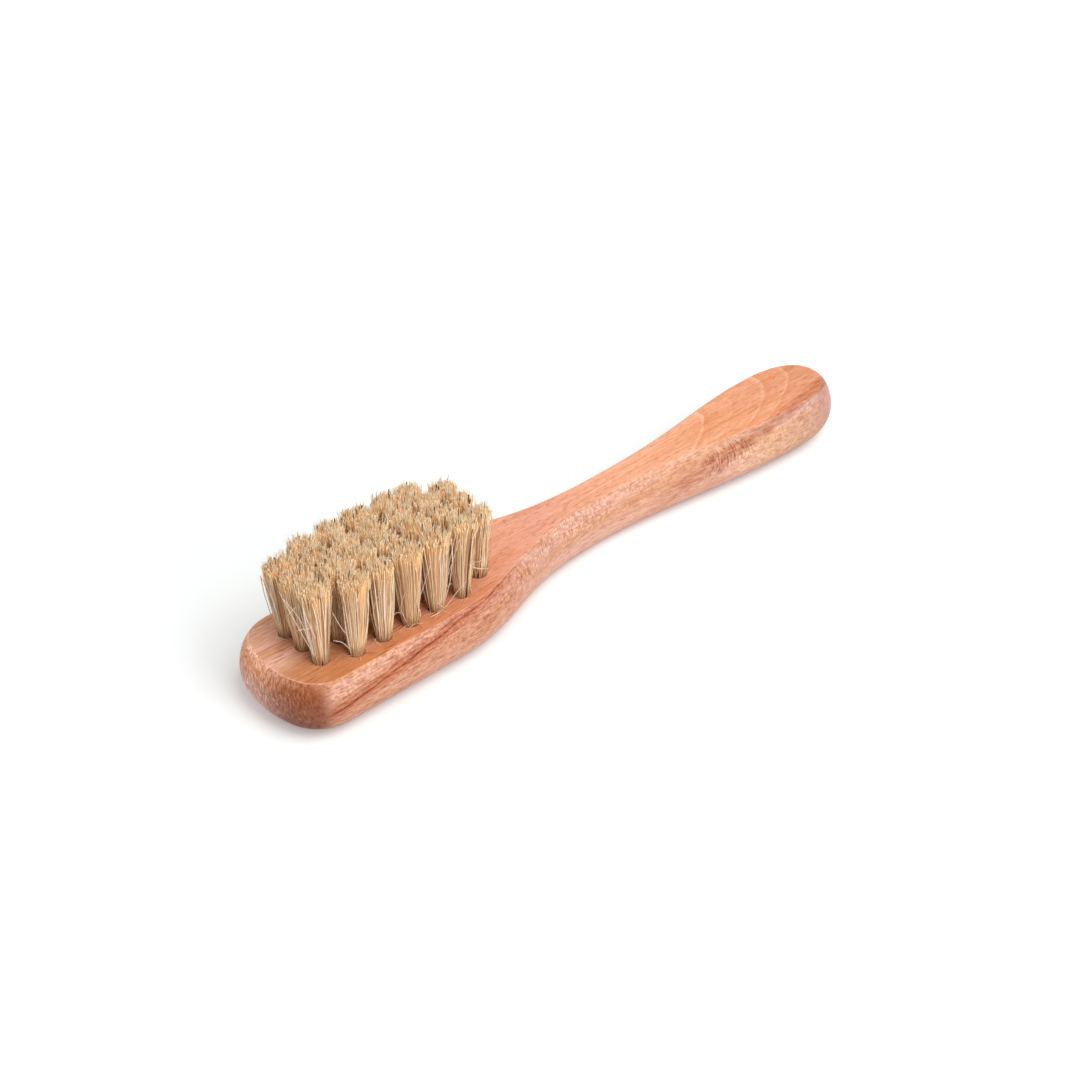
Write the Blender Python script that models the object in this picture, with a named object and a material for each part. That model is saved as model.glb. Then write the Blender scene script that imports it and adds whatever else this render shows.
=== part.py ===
# A small boar bristle brush for clothes and laundry, lying on its back.
#
# The body is one piece of hardwood: a broad head, a swept shoulder, a slim neck and a swelling
# grip. Its upper face is planed flat and its back is rounded over. Blind holes are drilled in
# the head, and each holds one tuft. A tuft is a bundle of bristle folded in half under a wire
# staple, and the legs of the staple are driven into the wood at the bottom of the hole.
#
# Metres, +Z up. The origin lies under the middle of the brush, on the surface it rests on.
# +X runs from the tip of the head to the end of the handle.

import math
import random

import bmesh
import bpy

# Wooden body seen from above, in order from the tip of the head
HEAD_LENGTH = 0.041
HEAD_WIDTH = 0.0306
HEAD_TIP_LENGTH = 0.0124  # the rounded part of the head
SHOULDER_LENGTH = 0.051  # from the head in to the neck
NECK_WIDTH = 0.0105
GRIP_SWELL_LENGTH = 0.0556  # from the neck out to the widest part of the grip
GRIP_WIDTH = 0.0209
GRIP_END_LENGTH = 0.0174  # the rounded end of the handle
END_POWER = 2.35  # both ends are superellipses, a little squarer than an ellipse

# How far each sweep runs straight on at its start and at its end, as shares of its length
SHOULDER_SWEEP_SHARES = (0.38, 0.56)
GRIP_SWEEP_SHARES = (0.27, 0.35)

# Wooden body in section
BODY_THICKNESS = 0.0132
BELLY_HEIGHT = 0.006  # of the widest line above the back
EDGE_ARC = math.radians(60)  # the side curves in over this angle until the flat face cuts it
HEAD_EDGE_INSET = 0.00255  # of the flat face's edge inside the widest line
NECK_EDGE_INSET = 0.0018
GRIP_EDGE_INSET = 0.0032
END_EDGE_INSET = 0.0025
BACK_ROUNDING = 0.0063
BACK_LAND_EASING = 0.0015  # keeps a flat land on the back where the neck is narrow

# Holes for the tufts
HOLE_DIAMETER = 0.0035
HOLE_DEPTH = 0.007  # to the shoulder of the drill's point
DRILL_POINT = math.radians(118)
TUFTS_IN_COLUMNS = (3, 4, 4, 4, 4, 4, 3)  # from the tip, each column across the head
FIRST_COLUMN_DISTANCE = 0.0115  # from the tip to the middle of the first column
TUFT_FIELD_LENGTH = 0.0417  # from the first column to the last
ROW_MARGIN = 0.0069  # from the side of the head to the middle of the outer row

# Bristle tufts
BRISTLE_HEIGHT = 0.0196  # above the flat face
PACKED_HEIGHT = 0.0012  # above the face, where the bristles still lie tight together
BUNDLE_GAP = 0.0003  # between a bundle and the wall of its hole
FOLD_ROUNDING = 0.0003
PINCH_LEAD = 0.00015  # between the wire's passage and the levels where the pinch starts and ends
TUFT_TIP_GAP = 0.0003  # between the spread tips of neighbouring tufts
TIP_LEAN = 0.0009  # of the first column, out over the tip of the head
STRANDS_IN_RINGS = (1, 6, 12)  # from the middle of a tuft outwards
STRAND_SIDES = 3
STRAND_RADIUS_SHARE = 0.17  # of the radius of the tuft at that height, so that none touch
STRAND_ROOT_DEPTH = 0.0005  # that each strand reaches down into the packed bundle
TRIM_SCATTER = 0.0007  # by which strands miss the trimmed height
STRAND_SCATTER_SHARE = 0.022  # by which strand tips stray, of the radius of the spread tuft
STRAND_SEED = 11

# Wire staples
WIRE_THICKNESS = 0.00045
WIRE_WIDTH = 0.0005
FOLD_THICKNESS = 0.001  # of the bristle that passes under the crown
LEG_BITE = 0.002  # below the shoulder of the hole
STAPLE_GAP = 0.00018  # between the wire and the bristle
SLOT_GAP = 0.00015  # between a leg and the wood
LEG_END_GAP = 0.0003
CUT_OVERRUN = 0.0004  # of every cutter past the face that it opens

# Facets
TIP_STEPS = 10
HEAD_STEPS = 2
SHOULDER_STEPS = 12
GRIP_STEPS = 11
UPPER_STEPS = 4
LOWER_STEPS = 5
HOLE_SIDES = 16
BUNDLE_SIDES = 8
BEND_STEPS = 3
CREASE_ANGLE = math.radians(35)  # edges sharper than this stay crisp, and the rest is shaded smooth

# Finishes: colour, roughness, metallic
WOOD_FINISH = ((0.78, 0.37, 0.22, 1), 0.45, 0)
BRISTLE_FINISH = ((0.66, 0.44, 0.25, 1), 0.6, 0)
WIRE_FINISH = ((0.6, 0.6, 0.6, 1), 0.35, 1)

# Sizes that follow from the ones above
NECK_DISTANCE = HEAD_LENGTH + SHOULDER_LENGTH
GRIP_DISTANCE = NECK_DISTANCE + GRIP_SWELL_LENGTH
BODY_LENGTH = GRIP_DISTANCE + GRIP_END_LENGTH
COLUMN_PITCH = TUFT_FIELD_LENGTH / (len(TUFTS_IN_COLUMNS) - 1)
ROW_PITCH = (HEAD_WIDTH - 2 * ROW_MARGIN) / (max(TUFTS_IN_COLUMNS) - 1)
HOLE_RADIUS = HOLE_DIAMETER / 2
DRILL_POINT_DEPTH = HOLE_RADIUS / math.tan(DRILL_POINT / 2)
BUNDLE_RADIUS = HOLE_RADIUS - BUNDLE_GAP
TUFT_TIP_RADIUS = (min(ROW_PITCH, COLUMN_PITCH) - TUFT_TIP_GAP) / 2
STRAND_SCATTER = TUFT_TIP_RADIUS * STRAND_SCATTER_SHARE
PACKED_RADIUS = BUNDLE_RADIUS + (TUFT_TIP_RADIUS - BUNDLE_RADIUS) * PACKED_HEIGHT / BRISTLE_HEIGHT
STAPLE_HALF_SPAN = HOLE_RADIUS - BUNDLE_GAP
CROWN_LOW = -HOLE_DEPTH + FOLD_THICKNESS


def clear_scene():
    for thing in list(bpy.data.objects):
        bpy.data.objects.remove(thing, do_unlink=True)


def make_material(name, finish):
    colour, roughness, metallic = finish
    material = bpy.data.materials.new(name)
    material.use_nodes = True
    shader = material.node_tree.nodes["Principled BSDF"]
    shader.inputs["Base Color"].default_value = colour
    shader.inputs["Roughness"].default_value = roughness
    shader.inputs["Metallic"].default_value = metallic
    material.diffuse_color = colour
    return material


def make_object(name, mesh, material, place=(0, 0, 0)):
    thing = bpy.data.objects.new(name, mesh)
    bpy.context.scene.collection.objects.link(thing)
    thing.location = place
    if material and not mesh.materials:
        mesh.materials.append(material)
    return thing


def make_helper(name, mesh, place=(0, 0, 0)):
    # A solid that only cuts or joins, and is no piece of the brush
    helper = make_object(name, mesh, None, place)
    helper.hide_render = True
    helper.display_type = "WIRE"
    return helper


def combine(thing, helper, operation):
    modifier = thing.modifiers.new(helper.name, "BOOLEAN")
    modifier.operation = operation
    modifier.solver = "EXACT"
    modifier.object = helper


def finish_mesh(name, bm):
    bmesh.ops.recalc_face_normals(bm, faces=bm.faces)
    mesh = bpy.data.meshes.new(name)
    bm.to_mesh(mesh)
    bm.free()
    mesh.shade_smooth()
    mesh.set_sharp_from_angle(angle=CREASE_ANGLE)
    return mesh


# Loft through closed rings of as many points each, with both ends capped
def loft_rings(bm, rings):
    loops = [[bm.verts.new(point) for point in ring] for ring in rings]
    for upper, lower in zip(loops, loops[1:]):
        for i in range(len(upper)):
            j = (i + 1) % len(upper)
            bm.faces.new((upper[i], upper[j], lower[j], lower[i]))
    bm.faces.new(loops[0])
    bm.faces.new(loops[-1])


def oval_points(x_radius, y_radius, height, sides, centre=(0, 0), turn=0):
    points = []
    for side in range(sides):
        angle = turn + side * math.tau / sides
        x = centre[0] + x_radius * math.cos(angle)
        y = centre[1] + y_radius * math.sin(angle)
        points.append((x, y, height))
    return points


def circle_points(radius, height, sides, centre=(0, 0), turn=0):
    return oval_points(radius, radius, height, sides, centre, turn)


# Places along the body, measured from the tip of the head, in the brush's own frame
def along_body(distance):
    return distance - BODY_LENGTH / 2


def smooth_mix(share, start, end):
    eased = share * share * (3 - 2 * share)
    return start + (end - start) * eased


# A sweep that leaves and meets its ends level: a cubic curve with level handles
def sweep_points(start, end, handle_shares, steps):
    (start_x, start_width), (end_x, end_width) = start, end
    run = end_x - start_x
    near = start_x + handle_shares[0] * run
    far = end_x - handle_shares[1] * run
    points = []
    for step in range(1, steps + 1):
        t = step / steps
        s = 1 - t
        x = s**3 * start_x + 3 * s * s * t * near + 3 * s * t * t * far + t**3 * end_x
        points.append((x, smooth_mix(t, start_width, end_width)))
    return points


# Distance from the tip and half width, along the body between its two rounded ends
def side_stations():
    half_head = HEAD_WIDTH / 2
    straight = HEAD_LENGTH - HEAD_TIP_LENGTH
    head = [(HEAD_TIP_LENGTH + straight * i / HEAD_STEPS, half_head) for i in range(1, HEAD_STEPS + 1)]
    neck = (NECK_DISTANCE, NECK_WIDTH / 2)
    grip = (GRIP_DISTANCE, GRIP_WIDTH / 2)
    shoulder = sweep_points((HEAD_LENGTH, half_head), neck, SHOULDER_SWEEP_SHARES, SHOULDER_STEPS)
    return head + shoulder + sweep_points(neck, grip, GRIP_SWEEP_SHARES, GRIP_STEPS)


# Inset of the flat face's edge, which eases from each stretch of the body to the next
def edge_inset(distance, half_width):
    middle_of_grip = NECK_DISTANCE + GRIP_SWELL_LENGTH / 2
    stretches = (
        (HEAD_LENGTH, HEAD_EDGE_INSET, NECK_DISTANCE, NECK_EDGE_INSET),
        (NECK_DISTANCE, NECK_EDGE_INSET, middle_of_grip, GRIP_EDGE_INSET),
        (middle_of_grip, GRIP_EDGE_INSET, GRIP_DISTANCE, END_EDGE_INSET),
    )
    if distance <= HEAD_LENGTH:
        return HEAD_EDGE_INSET
    for start, start_inset, end, end_inset in stretches:
        if distance <= end:
            return smooth_mix((distance - start) / (end - start), start_inset, end_inset)
    return END_EDGE_INSET


# Inset of the flat land on the back: the rounding, held back where the body is narrow
def back_inset(distance, half_width):
    spare = half_width - BACK_ROUNDING
    land = (spare + math.hypot(spare, 2 * BACK_LAND_EASING)) / 2
    return half_width - land


# One level of the body, as a closed ring that lies inside the widest line by share of inset
def level_ring(height, inset, share):
    tip_inset = share * inset(HEAD_TIP_LENGTH, HEAD_WIDTH / 2)
    end_inset = share * inset(GRIP_DISTANCE, GRIP_WIDTH / 2)
    half = []
    for step in range(TIP_STEPS + 1):
        angle = math.pi / 2 * step / TIP_STEPS
        x = HEAD_TIP_LENGTH - (HEAD_TIP_LENGTH - tip_inset) * math.cos(angle) ** (2 / END_POWER)
        y = (HEAD_WIDTH / 2 - tip_inset) * math.sin(angle) ** (2 / END_POWER)
        half.append((x, y))
    for x, half_width in side_stations():
        half.append((x, half_width - share * inset(x, half_width)))
    for step in range(TIP_STEPS - 1, -1, -1):
        angle = math.pi / 2 * step / TIP_STEPS
        x = GRIP_DISTANCE + (GRIP_END_LENGTH - end_inset) * math.cos(angle) ** (2 / END_POWER)
        y = (GRIP_WIDTH / 2 - end_inset) * math.sin(angle) ** (2 / END_POWER)
        half.append((x, y))
    near = [(along_body(x), -y, height) for x, y in half]
    far = [(along_body(x), y, height) for x, y in half[-2:0:-1]]
    return near + far


def body_rings():
    rings = []
    for step in range(UPPER_STEPS, -1, -1):
        angle = EDGE_ARC * step / UPPER_STEPS
        share = (1 - math.cos(angle)) / (1 - math.cos(EDGE_ARC))
        rise = math.sin(angle) / math.sin(EDGE_ARC)
        height = BELLY_HEIGHT + (BODY_THICKNESS - BELLY_HEIGHT) * rise
        rings.append(level_ring(height, edge_inset, share))
    for step in range(1, LOWER_STEPS + 1):
        angle = math.pi / 2 * step / LOWER_STEPS
        height = BELLY_HEIGHT * (1 - math.sin(angle))
        rings.append(level_ring(height, back_inset, 1 - math.cos(angle)))
    return rings


# Column number and place of every tuft, column by column from the tip
def tuft_places():
    places = []
    for column, count in enumerate(TUFTS_IN_COLUMNS):
        x = along_body(FIRST_COLUMN_DISTANCE + column * COLUMN_PITCH)
        for row in range(count):
            y = (row - (count - 1) / 2) * ROW_PITCH
            places.append((column, x, y))
    return places


# One drilled hole: a cylinder down to its shoulder, then the cone that the point leaves
def add_drill(bm, x, y):
    bottom = BODY_THICKNESS - HOLE_DEPTH
    top = circle_points(HOLE_RADIUS, BODY_THICKNESS + CUT_OVERRUN, HOLE_SIDES, (x, y))
    shoulder = circle_points(HOLE_RADIUS, bottom, HOLE_SIDES, (x, y))
    upper = [bm.verts.new(point) for point in top]
    lower = [bm.verts.new(point) for point in shoulder]
    point = bm.verts.new((x, y, bottom - DRILL_POINT_DEPTH))
    bm.faces.new(upper)
    for i in range(HOLE_SIDES):
        j = (i + 1) % HOLE_SIDES
        bm.faces.new((upper[i], upper[j], lower[j], lower[i]))
        bm.faces.new((lower[i], lower[j], point))


# The slits that the two legs of a staple press into the wood
def add_leg_slots(bm, x, y):
    low = BODY_THICKNESS - HOLE_DEPTH - LEG_BITE - LEG_END_GAP
    high = BODY_THICKNESS - HOLE_DEPTH + CUT_OVERRUN
    half_width = WIRE_WIDTH / 2 + SLOT_GAP
    inner = STAPLE_HALF_SPAN - WIRE_THICKNESS - SLOT_GAP
    outer = STAPLE_HALF_SPAN + SLOT_GAP
    for side in (-1, 1):
        corners = ((-half_width, inner), (half_width, inner), (half_width, outer), (-half_width, outer))
        rings = [[(x + u, y + side * v, z) for u, v in corners] for z in (high, low)]
        loft_rings(bm, rings)


def make_body(material):
    bm = bmesh.new()
    loft_rings(bm, body_rings())
    body = make_object("handle_body", finish_mesh("handle_body", bm), material)
    for name, add_cut in (("drilled_holes", add_drill), ("leg_slots", add_leg_slots)):
        bm = bmesh.new()
        for column, x, y in tuft_places():
            add_cut(bm, x, y)
        combine(body, make_helper(name, finish_mesh(name, bm)), "DIFFERENCE")
    return body


# The staple, with y and z measured from the mouth of its hole. Its crown lies over the fold of
# the bristle and its legs point down, each cut to a chisel edge on the outside.
def staple_mesh():
    leg_end = -HOLE_DEPTH - LEG_BITE
    inner = STAPLE_HALF_SPAN - WIRE_THICKNESS
    right = [(inner, CROWN_LOW), (inner, leg_end + WIRE_THICKNESS), (STAPLE_HALF_SPAN, leg_end)]
    for step in range(BEND_STEPS + 1):
        angle = math.pi / 2 * step / BEND_STEPS
        y = STAPLE_HALF_SPAN - WIRE_THICKNESS * (1 - math.cos(angle))
        z = CROWN_LOW + WIRE_THICKNESS * math.sin(angle)
        right.append((y, z))
    outline = right + [(-y, z) for y, z in reversed(right)]
    bm = bmesh.new()
    loft_rings(bm, [[(x, y, z) for y, z in outline] for x in (-WIRE_WIDTH / 2, WIRE_WIDTH / 2)])
    return finish_mesh("staple", bm)


# The way of the crown through the bundle, right across it
def passage_mesh():
    half_width = WIRE_WIDTH / 2 + STAPLE_GAP
    half_span = STAPLE_HALF_SPAN + CUT_OVERRUN
    near = ((-half_width, -half_span), (half_width, -half_span))
    far = ((half_width, half_span), (-half_width, half_span))
    low = CROWN_LOW - STAPLE_GAP
    high = CROWN_LOW + WIRE_THICKNESS + STAPLE_GAP
    bm = bmesh.new()
    loft_rings(bm, [[(x, y, z) for x, y in near + far] for z in (high, low)])
    return finish_mesh("staple_passage", bm)


# The part of a tuft that is packed tight. At the bottom of its hole it is folded and pinched
# between the legs of the staple, and above the flat face it is a little splayed.
def bundle_mesh(name):
    pinched = STAPLE_HALF_SPAN - WIRE_THICKNESS - STAPLE_GAP
    folded = BUNDLE_RADIUS - FOLD_ROUNDING
    profile = (
        (folded - FOLD_ROUNDING, pinched - FOLD_ROUNDING, -HOLE_DEPTH),
        (folded, pinched, CROWN_LOW - STAPLE_GAP - PINCH_LEAD),
        (BUNDLE_RADIUS, BUNDLE_RADIUS, CROWN_LOW + WIRE_THICKNESS + STAPLE_GAP + PINCH_LEAD),
        (BUNDLE_RADIUS, BUNDLE_RADIUS, 0),
        (PACKED_RADIUS, PACKED_RADIUS, PACKED_HEIGHT),
    )
    bm = bmesh.new()
    half_side = math.pi / BUNDLE_SIDES
    loft_rings(bm, [oval_points(*level, BUNDLE_SIDES, turn=half_side) for level in profile])
    return finish_mesh(name, bm)


def scatter(draw):
    return draw.uniform(-STRAND_SCATTER, STRAND_SCATTER)


# The free strands of one tuft. They stand on rings and fan out without crossing.
def strand_mesh(name, lean, draw):
    base_room = BUNDLE_RADIUS * math.cos(math.pi / BUNDLE_SIDES)
    tip_room = TUFT_TIP_RADIUS - STRAND_SCATTER
    base_radius = base_room * STRAND_RADIUS_SHARE
    tip_radius = tip_room * STRAND_RADIUS_SHARE
    bm = bmesh.new()
    for ring, count in enumerate(STRANDS_IN_RINGS):
        reach = ring / (len(STRANDS_IN_RINGS) - 1)
        start = draw.uniform(0, math.tau)
        for strand in range(count):
            angle = start + strand * math.tau / count
            across = (math.cos(angle), math.sin(angle))
            base = [reach * (base_room - base_radius) * c for c in across]
            tip = [reach * (tip_room - tip_radius) * c + scatter(draw) for c in across]
            tip[0] += lean
            top = BRISTLE_HEIGHT - draw.uniform(0, TRIM_SCATTER)
            bottom = PACKED_HEIGHT - STRAND_ROOT_DEPTH
            lower = circle_points(base_radius, bottom, STRAND_SIDES, base, angle)
            upper = circle_points(tip_radius, top, STRAND_SIDES, tip, angle)
            loft_rings(bm, [upper, lower])
    return finish_mesh(name, bm)


def make_tufts(bristle, wire):
    staple = staple_mesh()
    passage = passage_mesh()
    for number, (column, x, y) in enumerate(tuft_places(), 1):
        place = (x, y, BODY_THICKNESS)
        draw = random.Random(STRAND_SEED + number)
        lean = -TIP_LEAN if column == 0 else 0
        name = f"tuft_{number:02d}"
        tuft = make_object(name, bundle_mesh(name), bristle, place)
        strands = make_helper(f"strands_{number:02d}", strand_mesh(name, lean, draw), place)
        combine(tuft, strands, "UNION")
        combine(tuft, make_helper(f"passage_{number:02d}", passage, place), "DIFFERENCE")
        make_object(f"staple_{number:02d}", staple, wire, place)


def main():
    clear_scene()
    make_body(make_material("wood", WOOD_FINISH))
    make_tufts(make_material("bristle", BRISTLE_FINISH), make_material("staple_wire", WIRE_FINISH))


main()
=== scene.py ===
import math
import random
from types import SimpleNamespace as Named

import bmesh
import bpy
from mathutils import Matrix, Vector


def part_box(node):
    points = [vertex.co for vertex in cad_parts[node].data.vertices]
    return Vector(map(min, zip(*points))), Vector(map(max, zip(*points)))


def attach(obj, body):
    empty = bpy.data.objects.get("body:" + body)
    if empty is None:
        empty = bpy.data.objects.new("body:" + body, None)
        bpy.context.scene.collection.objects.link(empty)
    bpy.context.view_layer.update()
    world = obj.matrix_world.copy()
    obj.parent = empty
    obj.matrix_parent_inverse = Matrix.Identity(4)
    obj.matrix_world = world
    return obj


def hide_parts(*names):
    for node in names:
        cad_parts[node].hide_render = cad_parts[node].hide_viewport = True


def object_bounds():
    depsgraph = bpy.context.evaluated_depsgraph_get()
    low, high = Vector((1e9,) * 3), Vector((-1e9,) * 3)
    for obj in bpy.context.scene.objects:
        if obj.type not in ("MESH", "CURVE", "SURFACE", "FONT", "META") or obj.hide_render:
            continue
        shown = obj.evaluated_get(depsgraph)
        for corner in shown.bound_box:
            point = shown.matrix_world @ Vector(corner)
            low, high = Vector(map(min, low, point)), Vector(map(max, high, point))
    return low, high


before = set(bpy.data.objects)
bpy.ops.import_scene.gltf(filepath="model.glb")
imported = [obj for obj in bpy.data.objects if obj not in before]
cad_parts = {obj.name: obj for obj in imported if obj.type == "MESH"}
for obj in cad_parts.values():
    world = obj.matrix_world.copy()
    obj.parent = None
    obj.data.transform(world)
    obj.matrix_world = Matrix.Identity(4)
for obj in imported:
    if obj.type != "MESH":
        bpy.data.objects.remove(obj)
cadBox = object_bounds()

mm = 0.001
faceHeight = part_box("handle_body")[1].z  # the planed face that the bristles stand on
tuftCount = sum(name.startswith("tuft_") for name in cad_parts)
print("frame loaded,", len(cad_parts), "pieces")


# Camera

cameraView = {
    "azimuth": -41.88,  # degrees, seen from the tip's side and a little in front
    "elevation": 37.775,
    "distance": 0.5004,
    "target": (-0.00643, 0.00055, 0.0066),
    "lens": 76.28,
    "sensor": 36.0,
}


def addCamera(view):
    azimuth = math.radians(view.azimuth)
    elevation = math.radians(view.elevation)
    back = Vector((math.sin(azimuth) * math.cos(elevation),
                   -math.cos(azimuth) * math.cos(elevation),
                   math.sin(elevation)))
    right = Vector((math.cos(azimuth), math.sin(azimuth), 0))
    up = back.cross(right)
    camera = bpy.data.objects.new("camera", bpy.data.cameras.new("camera"))
    camera.data.lens = view.lens
    camera.data.sensor_width = view.sensor
    turn = Matrix((right, up, back)).transposed()
    place = Vector(view.target) + back * view.distance
    camera.matrix_world = Matrix.Translation(place) @ turn.to_4x4()
    bpy.context.scene.collection.objects.link(camera)
    bpy.context.scene.camera = camera


addCamera(Named(**cameraView))
bpy.context.scene.view_settings.view_transform = "Standard"


# Nodes: an input that is given a socket is linked to it, and any other value is set on it

def addNode(tree, kind, inputs=None, **settings):
    node = tree.nodes.new("ShaderNode" + kind)
    for name, value in settings.items():
        setattr(node, name, value)
    for name, value in (inputs or {}).items():
        if isinstance(value, bpy.types.NodeSocket):
            tree.links.new(value, node.inputs[name])
        else:
            node.inputs[name].default_value = value
    return node


def calc(tree, operation, a, b=0.0, c=0.0):
    return addNode(tree, "Math", {0: a, 1: b, 2: c}, operation=operation).outputs[0]


def product(tree, *values):
    result = values[0]
    for value in values[1:]:
        result = calc(tree, "MULTIPLY", result, value)
    return result


def calcVector(tree, operation, a, b=(0.0, 0.0, 0.0)):
    return addNode(tree, "VectorMath", {0: a, 1: b}, operation=operation).outputs[0]


# an even step from one strength at low to another at high, which may also lie below low
def ease(tree, value, low, high, start=0.0, end=1.0):
    inputs = {"Value": value, "From Min": low, "From Max": high, "To Min": start, "To Max": end}
    return addNode(tree, "MapRange", inputs, interpolation_type="SMOOTHSTEP").outputs[0]


def asColour(value):
    return value if isinstance(value, bpy.types.NodeSocket) else (*value, 1.0)


# inputs 6 and 7 of a Mix node are its two colours, and output 2 is the mixed one
def mixColour(tree, factor, first, second, way="MIX"):
    inputs = {0: factor, 6: asColour(first), 7: asColour(second)}
    return addNode(tree, "Mix", inputs, data_type="RGBA", blend_type=way).outputs[2]


def colourRamp(tree, value, stops):
    node = addNode(tree, "ValToRGB", {"Fac": value})
    ramp = node.color_ramp
    while len(ramp.elements) < len(stops):
        ramp.elements.new(0.5)
    for element, (position, colour) in zip(ramp.elements, stops):
        element.position = position
        element.color = (*colour, 1.0)
    return node.outputs["Color"]


# noise that is stretched by a scale for each direction
def cloud(tree, vector, scale, detail=2.0, roughness=0.5, swirl=0.0, output="Fac"):
    inputs = {"Vector": calcVector(tree, "MULTIPLY", vector, scale), "Scale": 1.0,
              "Detail": detail, "Roughness": roughness, "Distortion": swirl}
    return addNode(tree, "TexNoise", inputs).outputs[output]


# the place on the piece in mm
def placeInMm(tree):
    return calcVector(tree, "MULTIPLY", addNode(tree, "TexCoord").outputs["Object"], (1 / mm, 1 / mm, 1 / mm))


# A zone is a list of factors. Each is the name of a value in the dictionary that is given, a name with the
# range over which that value is eased, or a plain strength.
def zoneMask(tree, at, zone):
    factors = []
    for factor in zone:
        if isinstance(factor, tuple):
            name, *limits = factor
            factors.append(ease(tree, at[name], *limits))
        else:
            factors.append(at[factor] if isinstance(factor, str) else factor)
    return product(tree, *factors)


# stains a colour with the tint of each mark in its zone, or paints it over where the mark says "MIX"
def addMarks(tree, at, colour, marks):
    for tint, zone, *way in marks:
        colour = mixColour(tree, zoneMask(tree, at, zone), colour, tint, *(way or ["MULTIPLY"]))
    return colour


streakRoughness = 0.6


# long streaks along the grain, about a middle of one half, for the wood, the bristle and the wire
def makeGrainGroup():
    group = bpy.data.node_groups.new("grain", "ShaderNodeTree")
    inputs = {"Place": (0.0, 0.0, 0.0), "Size": (30.0, 0.5, 0.5), "Detail": 3.0, "Contrast": 1.0}
    for label, value in inputs.items():
        kind = "NodeSocketVector" if isinstance(value, tuple) else "NodeSocketFloat"
        group.interface.new_socket(name=label, in_out="INPUT", socket_type=kind).default_value = value
    group.interface.new_socket(name="Mask", in_out="OUTPUT", socket_type="NodeSocketFloat")
    given = group.nodes.new("NodeGroupInput").outputs
    cells = calcVector(group, "DIVIDE", given["Place"], given["Size"])
    streaks = cloud(group, cells, (1.0, 1.0, 1.0), given["Detail"], streakRoughness)
    centred = product(group, calc(group, "SUBTRACT", streaks, 0.5), given["Contrast"])
    mask = calc(group, "ADD", centred, 0.5)
    group.links.new(mask, group.nodes.new("NodeGroupOutput").inputs["Mask"])
    return group


def useGrain(tree, place, size, contrast):
    inputs = {"Place": place, "Size": size, "Contrast": contrast}
    return addNode(tree, "Group", inputs, node_tree=grainGroup).outputs["Mask"]


grainGroup = makeGrainGroup()


def startMaterial(name):
    material = bpy.data.materials.new(name)
    material.use_nodes = True
    tree = material.node_tree
    return material, tree, tree.nodes["Principled BSDF"]


# Wood. Places are in mm: x along the brush, y across it and z up it, from the middle of its length and width

# tints that several marks share
rayDark, rayPale, palePatch = (0.71, 0.51, 0.41), (1.2, 1.4, 1.5), (1.14, 1.22, 1.28)


# dark marks where a texture is low and pale ones where it is high, over a spread of its values
def figureMarks(texture, spread, dark, pale, zone):
    return [(rayDark, [(texture, 0.48, 0.48 - spread), *zone, dark]),
            (rayPale, [(texture, 0.52, 0.52 + spread), *zone, pale])]


dashZone = [("ticks", 0.42, 0.3), "planed", ("x", -34.0, -14.0, 0.5, 0.9), ("x", 24.0, 0.0, 0.75, 1.0)]
archZone = [("bandAway", 1.7, 0.8), ("x", 34.0, 40.0), ("x", 53.0, 47.0), "side"]
curlZone = [("fromBand", -0.8, -2.4), ("x", 40.0, 47.0), ("x", 76.0, 69.0), ("z", 3.0, 5.5), "side"]
patchy = ("patches", 0.35, 0.6, 0.35, 1.0)

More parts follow.
